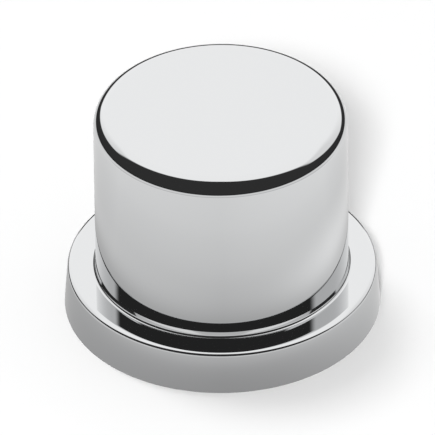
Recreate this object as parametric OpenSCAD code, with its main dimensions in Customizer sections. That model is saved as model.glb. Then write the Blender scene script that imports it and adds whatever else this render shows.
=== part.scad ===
// Push-on cover cap for one hexagon wheel nut: a hollow cup with a flange and a rim, moulded as one piece.
// Millimetres, +Z up. The cap stands on the foot of its rim at z = 0, with its axis on Z.

/* [Outside form] */
// overall height, from the foot of the rim to the flat top
cap_h = 40; // [30:0.1:60]
// diameter of the wall at its foot, where it meets the flange
wall_d = 44; // [41:0.1:60]
// how much the wall draws in from its foot to the flat top, on the radius
wall_draft = 0.15; // [0:0.05:1.5]
// width of the flange, from the foot of the wall to the flange edge
flange_w = 4.9; // [3:0.1:10]
// height of the flange top above the foot of the rim
flange_h = 7.9; // [4:0.1:15]
// lean of the rim from upright, spreading from the flange edge down to its foot, degrees
rim_lean = 4.7; // [0:0.1:10]

/* [Edges] */
// radius of the round edge between the wall and the flat top
top_edge_r = 2.8; // [0.8:0.1:4]
// height of the steep flare at the foot of the wall, measured from the flange
flare_h = 1; // [0.8:0.05:2.5]
// lean of that flare from upright, degrees
flare_lean = 15; // [5:0.5:25]
// radius of the hollow corner between the flare and the flange
corner_r = 0.6; // [0.4:0.05:1]
// width of the sloped border of the flange, from its flat to its edge
slope_w = 1.22; // [0.8:0.01:2]
// fall of that border from level, degrees
slope_fall = 25; // [10:0.5:35]
// radius of the soft round between the flat of the flange and its border
slope_r = 1.7; // [0.8:0.1:2.5]
// radius of the flange's outer edge
flange_edge_r = 0.6; // [0.2:0.01:0.8]

/* [Shell] */
// thickness of the wall, the top, the flange and the rim
skin = 1.8; // [1.2:0.1:2.5]
// bevel round the mouth of the cup, at the underside of the flange
mouth_bevel = 0.8; // [0.3:0.1:1.2]
// bevel that fills the corner inside the cup, between the wall and the roof
roof_bevel = 0.8; // [0.3:0.1:1.5]

/* [Grip ribs] */
// size across the flats of the nut that the cap grips
nut_af = 33; // [30:0.1:34]
// how far each rib would bite into the nut's flat, so that the cap springs on to it
rib_bite = 0.1; // [0:0.05:0.3]
// thickness of one rib
rib_t = 1.2; // [0.8:0.1:2]
// distance between the middles of the two ribs that press on one flat
rib_pair = 11; // [8:0.5:13]
// height of the ribs' lower ends above the underside of the flange
rib_gap = 2; // [0.5:0.1:4]
// height of the lead-in slope at a rib's lower end
lead_h = 3; // [1:0.1:6]
// how far the lead-in slope falls back at a rib's lower end
lead_in = 1.2; // [0.5:0.1:2]

/* [Hidden] */
// flats on the nut
FLATS = 6;
// facets of the preview round the axis, and round an edge
TURN_FN = 180;
EDGE_FN = 64;
// length by which a cutter passes the face that it opens
OVER = 1;
// depth at which a straight face starts below the round that it runs on from, so that the two cross cleanly
SINK = 0.0003;
// sector of a round: angle by which it passes the face that it runs into, and length of its sides in radii
SPARE = 4;
SECTOR = 2;
// colour of the plating in the preview
CHROME = [0.78, 0.79, 0.80];

wall_r = wall_d / 2;
flange_r = wall_r + flange_w;

// lean of the wall from upright, and the distance of its face from the axis measured square to it
lean = atan(wall_draft / (cap_h - flange_h));
wall_reach = wall_r * cos(lean) + flange_h * sin(lean);

// radius of the wall's outer face at a height
function wall_at(z) = (wall_reach - z * sin(lean)) / cos(lean);

// middle of the top edge's round, touching the flat top and the wall
top_mid_z = cap_h - top_edge_r;
top_mid_r = (wall_reach - top_edge_r - top_mid_z * sin(lean)) / cos(lean);

// flare: its upper end on the wall, and the height and radius at which the hollow corner's round ends on it
flare_top = flange_h + flare_h;
corner_mid_z = flange_h + corner_r;
flare_foot = corner_mid_z - corner_r * sin(flare_lean);
flare_foot_r = wall_at(flare_top) + (flare_top - flare_foot) * tan(flare_lean);
corner_mid_r = flare_foot_r + corner_r * cos(flare_lean);

// sloped border: middle of the soft round above it, and of the edge's round below it, both touching its face
slope_mid_r = flange_r - slope_w;
slope_mid_z = flange_h - slope_r;
edge_mid_r = flange_r - flange_edge_r;
edge_reach = slope_r - flange_edge_r - (edge_mid_r - slope_mid_r) * sin(slope_fall);
edge_mid_z = slope_mid_z + edge_reach / cos(slope_fall);

// rim: upper end where the edge's round ends, and radius of the foot
rim_top = edge_mid_z + flange_edge_r * sin(rim_lean);
rim_top_r = edge_mid_r + flange_edge_r * cos(rim_lean);
foot_r = rim_top_r + rim_top * tan(rim_lean);

// radii at which the straight faces start, just under their rounds
top_in = top_edge_r - SINK;
slope_in = slope_r - SINK;
edge_in = flange_edge_r - SINK;

// inside of the shell
recess_r = flange_r - skin;
recess_top = flange_h - skin;
roof_z = cap_h - skin;
cup_foot_r = wall_at(recess_top) - skin;
bevel_z = roof_z - roof_bevel;
bevel_r = wall_at(bevel_z) - skin;

// ribs: inner face at the nut's flat, outer end and top run a little way into the wall and the roof
rib_root = skin / 3;
rib_face = nut_af / 2 - rib_bite;
rib_far = rib_pair / 2 + rib_t / 2;
rib_end = sqrt(pow(wall_at(cap_h) - skin + rib_root, 2) - pow(rib_far, 2));
rib_foot = recess_top + rib_gap;
rib_top = roof_z + rib_root;

// node to draw, or all of them

// outline of the solid of revolution before it is hollowed, right half
module outer_section() {
  // foot, rim, sloped border, flange, flare, wall and flat top
  polygon([
    [0, 0],
    [foot_r, 0],
    [edge_mid_r + edge_in * cos(rim_lean), edge_mid_z + edge_in * sin(rim_lean)],
    [edge_mid_r, edge_mid_z],
    [edge_mid_r + edge_in * sin(slope_fall), edge_mid_z + edge_in * cos(slope_fall)],
    [slope_mid_r + slope_in * sin(slope_fall), slope_mid_z + slope_in * cos(slope_fall)],
    [slope_mid_r, slope_mid_z],
    [slope_mid_r, flange_h],
    [corner_mid_r, flange_h],
    [wall_at(flare_top) + flare_h * tan(flare_lean), flange_h],
    [wall_at(flare_top), flare_top],
    [top_mid_r + top_in * cos(lean), top_mid_z + top_in * sin(lean)],
    [top_mid_r, cap_h],
    [0, cap_h]
  ]);
  // rounds of the top edge, of the flange edge and above the sloped border
  translate([top_mid_r, top_mid_z])
    circle(r = top_edge_r, $fn = EDGE_FN);
  translate([edge_mid_r, edge_mid_z])
    circle(r = flange_edge_r, $fn = EDGE_FN);
  translate([slope_mid_r, slope_mid_z])
    intersection() {
      circle(r = slope_r, $fn = EDGE_FN);
      polygon([
        [0, 0],
        [0, SECTOR * slope_r],
        [SECTOR * slope_r * sin(slope_fall + SPARE), SECTOR * slope_r * cos(slope_fall + SPARE)]
      ]);
    }
  // hollow corner at the foot of the flare
  difference() {
    polygon([
      [corner_mid_r - corner_r - skin / 2, flange_h - skin / 2],
      [corner_mid_r, flange_h - skin / 2],
      [corner_mid_r, flange_h],
      [flare_foot_r, flare_foot],
      [flare_foot_r - skin / 2, flare_foot]
    ]);
    translate([corner_mid_r, corner_mid_z])
      circle(r = corner_r + SINK, $fn = EDGE_FN);
  }
}

// outline of the hollow: recess under the flange, bevelled mouth, and cup with its bevelled corner
module inner_section() {
  polygon([
    [0, -OVER],
    [recess_r, -OVER],
    [recess_r, recess_top],
    [cup_foot_r + mouth_bevel, recess_top],
    [cup_foot_r, recess_top + mouth_bevel],
    [bevel_r, bevel_z],
    [bevel_r - roof_bevel, roof_z],
    [0, roof_z]
  ]);
}

// one grip rib standing in the plane y = 0, with its inner face square to +X
module rib() {
  translate([0, rib_t / 2, 0])
    rotate([90, 0, 0])
      linear_extrude(height = rib_t)
        polygon([
          [rib_face, rib_foot + lead_h],
          [rib_face + lead_in, rib_foot],
          [rib_end, rib_foot],
          [rib_end, rib_top],
          [rib_face, rib_top]
        ]);
}

// the cap: turned shell with a pair of ribs for each flat of the nut
module nut_cover() {
  color(CHROME) {
    rotate_extrude($fn = TURN_FN)
      difference() {
        outer_section();
        inner_section();
      }
    for (i = [0 : FLATS - 1])
      rotate([0, 0, i * 360 / FLATS])
        for (side = [-1, 1])
          translate([0, side * rib_pair / 2, 0])
            rib();
  }
}

nut_cover();
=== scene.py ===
"""Looks of the push-on wheel nut cover: bright plating, a pale studio floor and soft light. Metres."""

import math

import bpy
from mathutils import Matrix, Vector


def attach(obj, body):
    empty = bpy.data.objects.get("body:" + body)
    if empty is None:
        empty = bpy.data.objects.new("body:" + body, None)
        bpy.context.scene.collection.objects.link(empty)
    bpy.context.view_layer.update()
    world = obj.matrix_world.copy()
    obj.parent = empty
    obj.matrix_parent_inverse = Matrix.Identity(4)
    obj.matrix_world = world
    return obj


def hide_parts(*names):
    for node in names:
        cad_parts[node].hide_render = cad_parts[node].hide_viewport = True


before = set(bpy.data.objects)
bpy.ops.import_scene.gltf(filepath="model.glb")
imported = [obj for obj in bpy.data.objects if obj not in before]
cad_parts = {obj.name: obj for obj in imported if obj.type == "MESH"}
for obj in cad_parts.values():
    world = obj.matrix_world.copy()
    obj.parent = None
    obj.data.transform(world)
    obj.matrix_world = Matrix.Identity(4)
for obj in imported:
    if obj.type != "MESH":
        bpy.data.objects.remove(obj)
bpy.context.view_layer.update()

MM = 0.001  # metres in a millimetre

# form: the same sizes as the part's source, in millimetres and degrees
CAP_H = 40.0
WALL_R = 22.0
WALL_DRAFT = 0.15
FLANGE_W = 4.9
FLANGE_H = 7.9
RIM_LEAN = 4.7
TOP_EDGE_R = 2.8
CORNER_R = 0.6
FLARE_H = 1.0
FLARE_LEAN = 15.0
SLOPE_W = 1.22
SLOPE_ROUND = 1.7
SLOPE_LEAN = 25.0
FLANGE_EDGE_R = 0.6
SKIN = 1.8
MOUTH_BEVEL = 0.8
ROOF_BEVEL = 0.8
# ribs inside that hold the nut
NUT_AF = 33.0
RIB_BITE = 0.1
RIB_T = 1.2
RIB_PAIR = 11.0
RIB_GAP = 2.0
LEAD_H = 3.0
LEAD_IN = 1.2
RIB_ROOT = SKIN / 3
FLATS = 6
# steps of the turned mesh: round the axis, and along each run of the outline
STEPS = 480
EDGE_STEPS = 16
CORNER_STEPS = 24
TOP_STEPS = 48
FLARE_STEPS = 2
WALL_STEPS = 4
# distance in metres within which points are one, and area in square metres of a strip with no width
WELD = 1e-6
LEAST_FACE = 1e-13
# height that tells the three rings of a unit block apart, which lie at -0.5, 0 and 0.5
BETWEEN_RINGS = 0.25

# plating: its colour, and how its roughness wanders
REFLECT = (0.56, 0.565, 0.57)
ROUGH_LEAST = 0.02
ROUGH_MOST = 0.04
ROUGH_GRAIN = 60.0
ROUGH_DETAIL = 3.0

# floor, in metres
R = 0.0275  # radius of the foot, which the studio is measured in
FLOOR_SIZE = 6.0
FLOOR_DROP = 0.00002  # gap under the foot
FLOOR_COLOUR = 0.8
# the floor as the plating mirrors it, a glow with a painted shadow that darkens it close to the foot:
# distance from the axis in foot radii, brightness
FLOOR_REFLECTION_PAINTED_SHADE = (
    (0.9, 0.46), (1.05, 0.475), (1.2, 0.51), (1.31, 0.56), (1.4, 0.64), (1.5, 0.72), (1.6, 0.775),
    (1.75, 0.828), (1.95, 0.905), (2.2, 0.965), (2.4, 1.02), (2.7, 1.06), (3.2, 1.08), (7.5, 1.08),
)
# largest distance and brightness that this curve takes
FLOOR_REACH = 7.5
FLOOR_TOP = 1.2
# distances in foot radii between which the gains close to the foot fade out
CLOSE_FROM = 1.4
CLOSE_TO = 2.0
# painted light and shade in the floor's reflection: gains to the right and to the left, at any distance
# and close to the foot, and the loss behind
RIGHT_GAIN = 0.1
RIGHT_CLOSE_GAIN = 0.5
RIGHT_NARROW = 3.0  # power that narrows the close gain on the right
LEFT_GAIN = 0.04
LEFT_CLOSE_GAIN = 0.13
BACK_LOSS = 0.22
FAR_FROM = 0.93  # share of the reach from which the mirrored floor fades to dark
FLOOR_LEAST = 0.04

# low pale card bent round the front, seen only in the plating: it glows and lights nothing, a painted
# reflection
CARD_R = 3.2 * R
CARD_H = 0.85 * R
CARD_AZ = 112.0  # reach to each side of the front, degrees
CARD_FADE = 30.0  # length over which its ends fade out, degrees
CARD_LEVEL = 0.72  # brightness at its foot
CARD_TOP = 1.05  # brightness higher up
CARD_RISE = (0.1, 0.5)  # shares of its height between which the brightness rises
CARD_STEPS = 60

# surroundings that the plating mirrors, with angles in degrees and azimuth 0 in front
PALE = 1.42
DARK = 0.045
PLAIN_LIGHT = 0.53  # even light on what isn't mirrored
WHITE = 1.0  # what the camera sees past the floor
DARK_TURN = 11.0  # how far the middle of the dark part lies to the left
# reach of the dark part to either side of its middle: elevation, azimuth
DARK_REACH = ((0, 102), (45, 102), (55, 98), (65, 92), (75, 84), (85, 76), (90, 72))
# largest elevation and azimuth that this curve takes
UP_MOST = 90.0
SIDE_MOST = 120.0
DARK_SOFT = 5.0
# lower edge of the pale part: where it starts to rise, how steeply, how high at most, and its softness
RISE_FROM = 140.0
RISE_RATE = 0.62
RISE_MOST = 60.0
RISE_EDGE = (7.0, 11.0)
# greyer part, low at both sides: its reach, its soft end, how much greyer it is, and its upper edge
SIDE_REACH = 120.0
SIDE_SOFT = 35.0
SIDE_DIM = 0.2
SIDE_LOW = (42.0, 50.0)

# lamps: name, place and length of a side in metres, and watts
LAMPS = (
    ("overhead", (-0.72, 0.86, 2.78), 0.75, 29.0),
    ("front", (-0.247, -2.351, 1.847), 0.36, 66.0),
)
LAMP_AIM = (0, 0, 0.02)

# camera
FRAME_PX = 435
SENSOR = 36.0
LENS_PX = 9000.0
CLIP_NEAR = 0.01
CLIP_FAR = 50.0
CAM_EL = 36.2
CAM_ROLL = -0.7
# how far the camera stands from the middle of the foot in its own directions: back, right and up
CAM_DIST = 1.5685
CAM_SIDE = -0.00087
CAM_UP = 0.01393


# small node helpers
def node(tree, kind, **props):
    n = tree.nodes.new(kind)
    for k, v in props.items():
        setattr(n, k, v)
    return n


def link(tree, a, b):
    tree.links.new(a, b)


def set_inputs(tree, sockets, values):
    """Sets each socket to a number, or joins it to another node's output."""
    for socket, v in zip(sockets, values):
        if isinstance(v, (int, float)):
            socket.default_value = v
        else:
            link(tree, v, socket)


def math_node(tree, op, *values):
    n = node(tree, "ShaderNodeMath", operation=op)
    set_inputs(tree, n.inputs, values)
    return n.outputs[0]


def add(tree, a, b):
    return math_node(tree, "ADD", a, b)


def minus(tree, a, b):
    return math_node(tree, "SUBTRACT", a, b)


def times(tree, a, b):
    return math_node(tree, "MULTIPLY", a, b)


def divided(tree, a, b):
    return math_node(tree, "DIVIDE", a, b)


def blend(tree, share, at_none, at_full):
    """at_none where the share is 0, at_full where it is 1."""
    return math_node(tree, "MULTIPLY_ADD", share, at_full - at_none, at_none)


def ramp_up(tree, x, lo, hi):
    """0 below lo, 1 above hi, smooth between."""
    n = node(tree, "ShaderNodeMapRange", interpolation_type="SMOOTHSTEP")
    link(tree, x, n.inputs["Value"])
    n.inputs["From Min"].default_value = lo
    n.inputs["From Max"].default_value = hi
    return n.outputs["Result"]


def ramp_down(tree, x, lo, hi):
    """1 below lo, 0 above hi, smooth between."""
    return minus(tree, 1.0, ramp_up(tree, x, lo, hi))


def curve(tree, x, points, x_max, y_max):
    """A float curve through points, for x up to x_max and values up to y_max."""
    n = node(tree, "ShaderNodeFloatCurve")
    link(tree, divided(tree, x, x_max), n.inputs["Value"])
    c = n.mapping.curves[0]
    pts = [(p / x_max, v / y_max) for p, v in points]
    c.points[0].location = pts[0]
    c.points[1].location = pts[-1]
    for p in pts[1:-1]:
        c.points.new(*p)
    for p in c.points:
        p.handle_type = "AUTO_CLAMPED"
    n.mapping.update()
    return times(tree, n.outputs[0], y_max)


def vector(tree, x, y, z):
    n = node(tree, "ShaderNodeCombineXYZ")
    set_inputs(tree, n.inputs, (x, y, z))
    return n.outputs[0]


def parts_of(tree, v):
    n = node(tree, "ShaderNodeSeparateXYZ")
    link(tree, v, n.inputs[0])
    return n.outputs


def round_up_axis(tree, x, y):
    """Angle about Z in radians, 0 in front and positive on the right."""
    return math_node(tree, "ARCTAN2", x, times(tree, y, -1.0))


def mixed(tree, share, first, second):
    """Shader that is the first where the share is 0 and the second where it is 1."""
    n = node(tree, "ShaderNodeMixShader")
    for i, v in enumerate((share, first, second)):
        link(tree, v, n.inputs[i])
    return n.outputs[0]


def new_material(name):
    m = bpy.data.materials.new(name)
    m.use_nodes = True
    m.node_tree.nodes.clear()
    return m, m.node_tree


def end_material(tree, shader):
    link(tree, shader, node(tree, "ShaderNodeOutputMaterial").inputs["Surface"])


def object_coordinates(tree):
    return node(tree, "ShaderNodeTexCoord").outputs["Object"]


# node trees that make the pieces
def new_tree(name, sizes):
    """A tree with an input for each (name, kind, value): tree, inputs, and values by identifier."""
    g = bpy.data.node_groups.new(name, "GeometryNodeTree")
    g.interface.new_socket(name="Start", in_out="INPUT", socket_type="NodeSocketGeometry")
    g.interface.new_socket(name="Made", in_out="OUTPUT", socket_type="NodeSocketGeometry")
    values = {}
    for label, kind, value in sizes:
        socket = g.interface.new_socket(name=label, in_out="INPUT", socket_type=kind)
        values[socket.identifier] = value
    return g, node(g, "NodeGroupInput").outputs, values


def finish_tree(g, made, finish):
    """Last nodes of a tree: real geometry, then its material."""
    real = node(g, "GeometryNodeRealizeInstances")
    coat = node(g, "GeometryNodeSetMaterial")
    end = node(g, "NodeGroupOutput")
    link(g, made, real.inputs[0])
    link(g, real.outputs[0], coat.inputs["Geometry"])
    link(g, finish, coat.inputs["Material"])
    link(g, coat.outputs[0], end.inputs[0])


def make(name, start, g, values):
    """The plain mesh that a tree makes from a start mesh, as an object."""
    obj = bpy.data.objects.new(name, start)
    bpy.context.collection.objects.link(obj)
    mod = obj.modifiers.new("making", "NODES")
    mod.node_group = g
    for identifier, value in values.items():
        mod[identifier] = value
    scene_now = bpy.context.evaluated_depsgraph_get()
    made = bpy.data.meshes.new_from_object(
        obj.evaluated_get(scene_now), preserve_all_data_layers=True, depsgraph=scene_now
    )
    obj.modifiers.remove(mod)
    # only the finish that the tree set stays
    used = [m for m in made.materials if m]
    made.materials.clear()
    for m in used:
        made.materials.append(m)
    made.polygons.foreach_set("material_index", [0] * len(made.polygons))
    obj.data = made
    made.name = name
    return obj


def input_of(g, kind):
    return node(g, kind).outputs[0]


def sampled(g, source, value, index):
    """Value of a point of the source geometry, by its index."""
    n = node(g, "GeometryNodeSampleIndex", data_type="FLOAT_VECTOR", domain="POINT")
    link(g, source, n.inputs["Geometry"])
    link(g, value, n.inputs["Value"])
    link(g, index, n.inputs["Index"])
    return n.outputs[0]


def stored(g, geometry, name, domain, value):
    n = node(g, "GeometryNodeStoreNamedAttribute", data_type="FLOAT_VECTOR", domain=domain)
    link(g, geometry, n.inputs["Geometry"])
    n.inputs["Name"].default_value = name
    link(g, value, n.inputs["Value"])
    return n.outputs[0]


def named(g, name):
    n = node(g, "GeometryNodeInputNamedAttribute", data_type="FLOAT_VECTOR")
    n.inputs["Name"].default_value = name
    return n.outputs["Attribute"]


def moved(g, geometry, position):
    n = node(g, "GeometryNodeSetPosition")
    link(g, geometry, n.inputs["Geometry"])
    link(g, position, n.inputs["Position"])
    return n.outputs[0]


# shell
def flat(r0, z0, r1, z1, facing, count=1):
    """A straight run of the outline."""
    return [(r0 + (r1 - r0) * i / count, z0 + (z1 - z0) * i / count, *facing) for i in range(count + 1)]


def arc(r, z, rad, a0, a1, sign, count):
    """A round run of the outline; sign is -1 where the hollow side is seen."""
    pts = []
    for i in range(count + 1):
        a = a0 + (a1 - a0) * i / count
        pts.append((r + rad * math.cos(a), z + rad * math.sin(a), sign * math.cos(a), sign * math.sin(a)))
    return pts


def sections():
    """Runs of the turned outline in order along the skin, as lists of (radius, height, facing out, up)."""
    flange_r = WALL_R + FLANGE_W
    lean = math.atan(WALL_DRAFT / (CAP_H - FLANGE_H))
    cl, sl = math.cos(lean), math.sin(lean)
    reach = WALL_R * cl + FLANGE_H * sl

    def wall_at(z):
        return (reach - z * sl) / cl

    # middle of the top edge's round
    top_z = CAP_H - TOP_EDGE_R
    top_r = (reach - TOP_EDGE_R - top_z * sl) / cl
    # steep flare at the foot of the wall, then the hollow corner
    fl = math.radians(FLARE_LEAN)
    flare_top = FLANGE_H + FLARE_H
    flare_r = wall_at(flare_top)
    cor_z = FLANGE_H + CORNER_R
    touch_z = cor_z - CORNER_R * math.sin(fl)
    touch_r = flare_r + (flare_top - touch_z) * math.tan(fl)
    cor_r = touch_r + CORNER_R * math.cos(fl)
    # outer edge of the flange: soft round, slope, fine edge, leaning rim
    sp = math.radians(SLOPE_LEAN)
    csp, ssp = math.cos(sp), math.sin(sp)
    roll_r, roll_z = flange_r - SLOPE_W, FLANGE_H - SLOPE_ROUND
    edge_r = flange_r - FLANGE_EDGE_R
    edge_z = roll_z + (SLOPE_ROUND - FLANGE_EDGE_R - (edge_r - roll_r) * ssp) / csp
    rim = math.radians(RIM_LEAN)
    rim_r, rim_z = edge_r + FLANGE_EDGE_R * math.cos(rim), edge_z + FLANGE_EDGE_R * math.sin(rim)
    foot_r = rim_r + rim_z * math.tan(rim)
    # inside
    recess_r, recess_top = flange_r - SKIN, FLANGE_H - SKIN
    roof_z = CAP_H - SKIN
    mouth_r = wall_at(recess_top) - SKIN
    roof_r = wall_at(roof_z - ROOF_BEVEL) - SKIN
    up, down, inwards = (0, 1), (0, -1), (-1, 0)
    bevel = (-math.sqrt(0.5), -math.sqrt(0.5))

    return [
        # rim, fine edge, sloped border and soft round
        flat(foot_r, 0, rim_r, rim_z, (math.cos(rim), math.sin(rim))),
        arc(edge_r, edge_z, FLANGE_EDGE_R, rim, math.pi / 2 - sp, 1, EDGE_STEPS),
        flat(
            edge_r + FLANGE_EDGE_R * ssp, edge_z + FLANGE_EDGE_R * csp,
            roll_r + SLOPE_ROUND * ssp, roll_z + SLOPE_ROUND * csp, (ssp, csp),
        ),
        arc(roll_r, roll_z, SLOPE_ROUND, math.pi / 2 - sp, math.pi / 2, 1, EDGE_STEPS),
        # flange, hollow corner, flare, wall, top edge and flat top
        flat(roll_r, FLANGE_H, cor_r, FLANGE_H, up),
        arc(cor_r, cor_z, CORNER_R, -math.pi / 2, -math.pi + fl, -1, CORNER_STEPS),
        flat(touch_r, touch_z, flare_r, flare_top, (math.cos(fl), math.sin(fl)), FLARE_STEPS),
        flat(flare_r, flare_top, top_r + TOP_EDGE_R * cl, top_z + TOP_EDGE_R * sl, (cl, sl), WALL_STEPS),
        arc(top_r, top_z, TOP_EDGE_R, lean, math.pi / 2, 1, TOP_STEPS),
        flat(top_r, CAP_H, 0, CAP_H, up),
        # roof, its bevelled corner, cup, bevelled mouth, recess and foot
        flat(0, roof_z, roof_r - ROOF_BEVEL, roof_z, down),
        flat(roof_r - ROOF_BEVEL, roof_z, roof_r, roof_z - ROOF_BEVEL, bevel),
        flat(roof_r, roof_z - ROOF_BEVEL, mouth_r, recess_top + MOUTH_BEVEL, (-cl, -sl)),
        flat(mouth_r, recess_top + MOUTH_BEVEL, mouth_r + MOUTH_BEVEL, recess_top, bevel),
        flat(mouth_r + MOUTH_BEVEL, recess_top, recess_r, recess_top, down),
        flat(recess_r, recess_top, recess_r, 0, inwards),
        flat(recess_r, 0, foot_r, 0, down),
    ]


def outline_mesh(runs):
    """Points of the outline in metres, each with the way its face looks."""
    points = [p for run in runs for p in run]
    mesh = bpy.data.meshes.new("outline")
    mesh.from_pydata(
        [(r * MM, 0, z * MM) for r, z, _, _ in points], [(i, i + 1) for i in range(len(points) - 1)], []
    )
    facing = mesh.attributes.new("facing", "FLOAT_VECTOR", "POINT")
    for i, (_, _, out, up) in enumerate(points):
        facing.data[i].vector = (out, 0, up)
    return mesh


def turning_tree(finish):
    """Turns an outline about the upright axis and carries its facing to every corner of every face."""
    g, given, values = new_tree("turned_shell", (
        ("Steps round", "NodeSocketInt", STEPS),
        ("Weld distance", "NodeSocketFloat", WELD),
        ("Least face", "NodeSocketFloat", LEAST_FACE),
        ("Finish", "NodeSocketMaterial", finish),
    ))
    outline = given["Start"]
    size = node(g, "GeometryNodeAttributeDomainSize", component="MESH")
    link(g, outline, size.inputs[0])
    along = size.outputs["Point Count"]
    grid = node(g, "GeometryNodeMeshGrid")
    link(g, add(g, given["Steps round"], 1.0), grid.inputs["Vertices X"])
    link(g, along, grid.inputs["Vertices Y"])
    # each column of the grid is one copy of the outline, turned by its own angle
    # (half a step more keeps a whole number from being rounded down)
    index = input_of(g, "GeometryNodeInputIndex")
    column = math_node(g, "FLOOR", divided(g, add(g, index, 0.5), along))
    row = minus(g, index, times(g, column, along))
    angle = times(g, divided(g, column, given["Steps round"]), 2 * math.pi)
    co, si = math_node(g, "COSINE", angle), math_node(g, "SINE", angle)

    def turned_about(v):
        r, _, z = parts_of(g, v)
        return vector(g, times(g, r, co), times(g, r, si), z)

    where = turned_about(sampled(g, outline, input_of(g, "GeometryNodeInputPosition"), row))
    facing = turned_about(sampled(g, outline, named(g, "facing"), row))
    kept = stored(g, grid.outputs["Mesh"], "facing", "POINT", facing)
    placed = moved(g, kept, where)
    cornered = stored(g, placed, "turned_facing", "CORNER", named(g, "facing"))
    # strips with no width, where one run ends and the next begins, come out before the weld
    tiny = node(g, "FunctionNodeCompare", data_type="FLOAT", operation="LESS_THAN")
    link(g, input_of(g, "GeometryNodeInputMeshFaceArea"), tiny.inputs[0])
    link(g, given["Least face"], tiny.inputs[1])
    cleared = node(g, "GeometryNodeDeleteGeometry", domain="FACE")
    link(g, cornered, cleared.inputs["Geometry"])
    link(g, tiny.outputs[0], cleared.inputs["Selection"])
    weld = node(g, "GeometryNodeMergeByDistance")
    link(g, cleared.outputs[0], weld.inputs["Geometry"])
    link(g, given["Weld distance"], weld.inputs["Distance"])
    smooth = node(g, "GeometryNodeSetShadeSmooth")
    link(g, weld.outputs[0], smooth.inputs["Geometry"])
    finish_tree(g, smooth.outputs[0], given["Finish"])
    return g, values


def face_exactly(mesh):
    """Gives every corner the exact facing that its tree carried, so the plating mirrors true rounds."""
    numbers = [0.0] * (3 * len(mesh.loops))
    mesh.attributes["turned_facing"].data.foreach_get("vector", numbers)
    mesh.normals_split_custom_set([numbers[i:i + 3] for i in range(0, len(numbers), 3)])
    for name in ("facing", "turned_facing"):
        spent = mesh.attributes.get(name)
        if spent:
            mesh.attributes.remove(spent)


# ribs
def rib_tree(finish):
    """Pairs of upright ribs, one pair for each flat of the nut."""
    wall_in = WALL_R - WALL_DRAFT - SKIN + RIB_ROOT
    g, given, values = new_tree("grip_ribs", (
        ("Flats", "NodeSocketInt", FLATS),
        ("Pair spacing", "NodeSocketFloat", RIB_PAIR * MM),
        ("Thickness", "NodeSocketFloat", RIB_T * MM),
        ("Inner face", "NodeSocketFloat", (NUT_AF / 2 - RIB_BITE) * MM),
        ("Outer end", "NodeSocketFloat", math.sqrt(wall_in**2 - (RIB_PAIR / 2 + RIB_T / 2) ** 2) * MM),
        ("Foot", "NodeSocketFloat", (FLANGE_H - SKIN + RIB_GAP) * MM),
        ("Top", "NodeSocketFloat", (CAP_H - SKIN + RIB_ROOT) * MM),
        ("Lead-in height", "NodeSocketFloat", LEAD_H * MM),
        ("Lead-in depth", "NodeSocketFloat", LEAD_IN * MM),
        ("Finish", "NodeSocketMaterial", finish),
    ))
    # a unit block with a middle ring, which becomes the upper end of the lead-in
    block = node(g, "GeometryNodeMeshCube")
    block.inputs["Size"].default_value = (1, 1, 1)
    block.inputs["Vertices Z"].default_value = 3
    x, y, z = parts_of(g, input_of(g, "GeometryNodeInputPosition"))

    def choose(is_true, when_true, when_false):
        """when_true where the test is 1, when_false where it is 0."""
        return math_node(g, "MULTIPLY_ADD", is_true, minus(g, when_true, when_false), when_false)

    low = math_node(g, "LESS_THAN", z, -BETWEEN_RINGS)
    high = math_node(g, "GREATER_THAN", z, BETWEEN_RINGS)
    inner = math_node(g, "LESS_THAN", x, 0.0)
    lead_top = add(g, given["Foot"], given["Lead-in height"])
    height = choose(high, given["Top"], choose(low, given["Foot"], lead_top))
    face = math_node(g, "MULTIPLY_ADD", low, given["Lead-in depth"], given["Inner face"])
    depth = choose(inner, face, given["Outer end"])
    rib = moved(g, block.outputs["Mesh"], vector(g, depth, times(g, y, given["Thickness"]), height))
    # where the ribs stand: two to a flat, half the spacing to either side of its middle
    # (a quarter more keeps a whole number from being rounded down)
    index = input_of(g, "GeometryNodeInputIndex")
    flat_no = math_node(g, "FLOOR", times(g, add(g, index, 0.25), 0.5))
    side = minus(g, minus(g, index, times(g, flat_no, 2.0)), 0.5)
    off = times(g, side, given["Pair spacing"])
    angle = times(g, divided(g, flat_no, given["Flats"]), 2 * math.pi)
    away = vector(
        g,
        times(g, times(g, off, -1.0), math_node(g, "SINE", angle)),
        times(g, off, math_node(g, "COSINE", angle)),
        0.0,
    )
    places = node(g, "GeometryNodePoints")
    link(g, times(g, given["Flats"], 2.0), places.inputs["Count"])
    link(g, away, places.inputs["Position"])
    standing = node(g, "GeometryNodeInstanceOnPoints")
    link(g, places.outputs[0], standing.inputs["Points"])
    link(g, rib, standing.inputs["Instance"])
    link(g, vector(g, 0.0, 0.0, angle), standing.inputs["Rotation"])
    finish_tree(g, standing.outputs[0], given["Finish"])
    return g, values


# the part
def plating():
    """Mirror-bright plating whose roughness wanders a little over the surface."""
    m, t = new_material("bright_plating")
    noise = node(t, "ShaderNodeTexNoise")
    noise.inputs["Scale"].default_value = ROUGH_GRAIN
    noise.inputs["Detail"].default_value = ROUGH_DETAIL
    link(t, object_coordinates(t), noise.inputs["Vector"])
    rough = node(t, "ShaderNodeMapRange")
    rough.inputs["To Min"].default_value = ROUGH_LEAST
    rough.inputs["To Max"].default_value = ROUGH_MOST
    link(t, noise.outputs["Fac"], rough.inputs["Value"])
    bsdf = node(t, "ShaderNodeBsdfPrincipled")
    bsdf.inputs["Metallic"].default_value = 1.0
    bsdf.inputs["Base Color"].default_value = (*REFLECT, 1)
    link(t, rough.outputs["Result"], bsdf.inputs["Roughness"])
    end_material(t, bsdf.outputs["BSDF"])
    return m


plate = plating()
shell = make("plated_shell", outline_mesh(sections()), *turning_tree(plate))
face_exactly(shell.data)
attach(shell, "root")
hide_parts("nut_cover")

ribs = make("grip_ribs", bpy.data.meshes.new("start"), *rib_tree(plate))
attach(ribs, "root")


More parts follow.
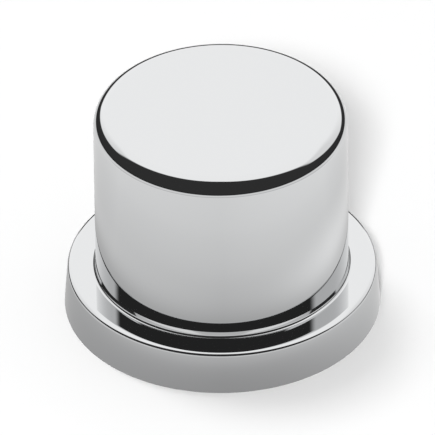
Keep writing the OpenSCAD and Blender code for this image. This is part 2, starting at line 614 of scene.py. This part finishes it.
# studio
def painted_floor_reflection(t):
    """Brightness of the floor as the plating mirrors it, by distance and side: a painted reflection, with
    painted shade close to the foot and behind, and painted light to the sides.
    """
    place = object_coordinates(t)
    x, y, _ = parts_of(t, place)
    length = node(t, "ShaderNodeVectorMath", operation="LENGTH")
    link(t, place, length.inputs[0])
    dist = length.outputs["Value"]
    glow = curve(t, divided(t, dist, R), FLOOR_REFLECTION_PAINTED_SHADE, FLOOR_REACH, FLOOR_TOP)
    # painted light to the sides, more so close by on the right, and painted shade behind
    across = divided(t, x, dist)
    close = ramp_down(t, dist, CLOSE_FROM * R, CLOSE_TO * R)
    right = math_node(t, "MAXIMUM", across, 0.0)
    narrow = times(t, math_node(t, "POWER", right, RIGHT_NARROW), close)
    right_close = times(t, narrow, RIGHT_CLOSE_GAIN)
    right_gain = math_node(t, "MULTIPLY_ADD", right, RIGHT_GAIN, right_close)
    left = math_node(t, "MINIMUM", across, 0.0)
    left_gain = times(t, left, math_node(t, "MULTIPLY_ADD", close, -LEFT_CLOSE_GAIN, -LEFT_GAIN))
    back_gain = times(t, math_node(t, "MAXIMUM", divided(t, y, dist), 0.0), -BACK_LOSS)
    gain = add(t, add(t, 1.0, back_gain), add(t, right_gain, left_gain))
    reach = FLOOR_REACH * R
    lit = times(t, times(t, glow, gain), ramp_down(t, dist, reach * FAR_FROM, reach))
    return math_node(t, "MAXIMUM", lit, FLOOR_LEAST)


def floor_material():
    m, t = new_material("floor_white")
    seen = node(t, "ShaderNodeBsdfDiffuse")
    seen.inputs["Color"].default_value = (FLOOR_COLOUR, FLOOR_COLOUR, FLOOR_COLOUR, 1)
    # the plating sees this glowing floor with painted shade in place of the lit floor that the camera sees
    painted_reflection = node(t, "ShaderNodeEmission")
    link(t, painted_floor_reflection(t), painted_reflection.inputs["Strength"])
    path = node(t, "ShaderNodeLightPath")
    end_material(t, mixed(t, path.outputs["Is Glossy Ray"], seen.outputs[0], painted_reflection.outputs[0]))
    return m


def card_mesh():
    """An upright strip bent round the front."""
    verts, faces = [], []
    for i in range(CARD_STEPS + 1):
        a = math.radians(-90 - CARD_AZ + 2 * CARD_AZ * i / CARD_STEPS)
        x, y = CARD_R * math.cos(a), CARD_R * math.sin(a)
        verts += [(x, y, 0), (x, y, CARD_H)]
        if i:
            faces.append((2 * i - 2, 2 * i, 2 * i + 1, 2 * i - 1))
    mesh = bpy.data.meshes.new("front_card")
    mesh.from_pydata(verts, [], faces)
    return mesh


def card_material():
    """Painted reflection that glows: brighter from its foot up, and clear towards its ends."""
    m, t = new_material("card_glowing")
    x, y, z = parts_of(t, object_coordinates(t))
    raised = ramp_up(t, z, CARD_RISE[0] * CARD_H, CARD_RISE[1] * CARD_H)
    glow = node(t, "ShaderNodeEmission")
    link(t, blend(t, raised, CARD_LEVEL, CARD_TOP), glow.inputs["Strength"])
    turn = math_node(t, "ABSOLUTE", round_up_axis(t, x, y))
    ends = ramp_up(t, turn, math.radians(CARD_AZ - CARD_FADE), math.radians(CARD_AZ))
    clear = node(t, "ShaderNodeBsdfTransparent")
    end_material(t, mixed(t, ends, glow.outputs[0], clear.outputs[0]))
    return m


def mirrored_surroundings(t):
    """Brightness that the plating mirrors from all round: pale behind and overhead, dark in front."""
    x, y, z = parts_of(t, node(t, "ShaderNodeTexCoord").outputs["Generated"])
    level_part = math_node(t, "SQRT", add(t, times(t, x, x), times(t, y, y)))
    az = times(t, round_up_axis(t, x, y), 180 / math.pi)
    elev = times(t, math_node(t, "ARCTAN2", z, level_part), 180 / math.pi)
    from_middle = math_node(t, "ABSOLUTE", add(t, az, DARK_TURN))
    # the dark part reaches less and less far to each side towards the top
    reach = curve(t, math_node(t, "MAXIMUM", elev, 0.0), DARK_REACH, UP_MOST, SIDE_MOST)
    behind = ramp_up(t, minus(t, from_middle, reach), -DARK_SOFT, DARK_SOFT)
    # lower edge of the pale part: low behind, higher towards the sides
    rise = times(t, math_node(t, "MAXIMUM", minus(t, RISE_FROM, from_middle), 0.0), RISE_RATE)
    rise = math_node(t, "MINIMUM", rise, RISE_MOST)
    above = ramp_up(t, minus(t, elev, rise), *RISE_EDGE)
    # greyer low at both sides, which the foot of the wall and the flange see in each other
    low = ramp_down(t, elev, *SIDE_LOW)
    beside = ramp_down(t, math_node(t, "ABSOLUTE", az), SIDE_REACH, SIDE_REACH + SIDE_SOFT)
    kept = minus(t, 1.0, times(t, times(t, low, beside), SIDE_DIM))
    return blend(t, times(t, times(t, behind, above), kept), DARK, PALE)


def background(t, strength):
    n = node(t, "ShaderNodeBackground")
    n.inputs["Color"].default_value = (1, 1, 1, 1)
    set_inputs(t, [n.inputs["Strength"]], [strength])
    return n.outputs[0]


def surroundings():
    world = bpy.data.worlds.new("studio")
    bpy.context.scene.world = world
    world.use_nodes = True
    t = world.node_tree
    t.nodes.clear()
    path = node(t, "ShaderNodeLightPath").outputs
    mirrored = background(t, mirrored_surroundings(t))
    light = mixed(t, path["Is Glossy Ray"], background(t, PLAIN_LIGHT), mirrored)
    shown = mixed(t, path["Is Camera Ray"], light, background(t, WHITE))
    link(t, shown, node(t, "ShaderNodeOutputWorld").inputs["Surface"])


def lamp(name, place, side, watts):
    """A square lamp that the plating and the camera don't see."""
    data = bpy.data.lights.new(name, "AREA")
    data.shape = "SQUARE"
    data.size = side
    data.energy = watts
    obj = bpy.data.objects.new(name, data)
    bpy.context.collection.objects.link(obj)
    obj.location = place
    obj.rotation_euler = (Vector(LAMP_AIM) - Vector(place)).to_track_quat("-Z", "Y").to_euler()
    obj.visible_glossy = False
    obj.visible_camera = False


def place_camera():
    data = bpy.data.cameras.new("camera")
    cam = bpy.data.objects.new("camera", data)
    bpy.context.collection.objects.link(cam)
    bpy.context.scene.camera = cam
    data.sensor_fit = "HORIZONTAL"
    data.sensor_width = SENSOR
    data.lens = LENS_PX / FRAME_PX * SENSOR
    data.clip_start = CLIP_NEAR
    data.clip_end = CLIP_FAR
    el = math.radians(CAM_EL)
    fwd = Vector((0, math.cos(el), -math.sin(el)))
    side = Vector((1, 0, 0))
    up = side.cross(fwd)
    turn = Matrix((side, up, -fwd)).transposed() @ Matrix.Rotation(math.radians(CAM_ROLL), 3, "Z")
    place = turn @ Vector((CAM_SIDE, CAM_UP, CAM_DIST))
    cam.matrix_world = Matrix.Translation(place) @ turn.to_4x4()


bpy.ops.mesh.primitive_plane_add(size=FLOOR_SIZE, location=(0, 0, -FLOOR_DROP))
floor = bpy.context.object
floor.name = "floor"
floor.data.materials.append(floor_material())

card = bpy.data.objects.new("front_card", card_mesh())
bpy.context.collection.objects.link(card)
card.data.materials.append(card_material())
# the card glows only in the plating, as a painted reflection: the camera doesn't see it, and it lights
# nothing and casts no shadow
card.visible_camera = False
card.visible_diffuse = False
card.visible_shadow = False

surroundings()
for name, place, side, watts in LAMPS:
    lamp(name, place, side, watts)
place_camera()
bpy.context.scene.view_settings.view_transform = "Standard"
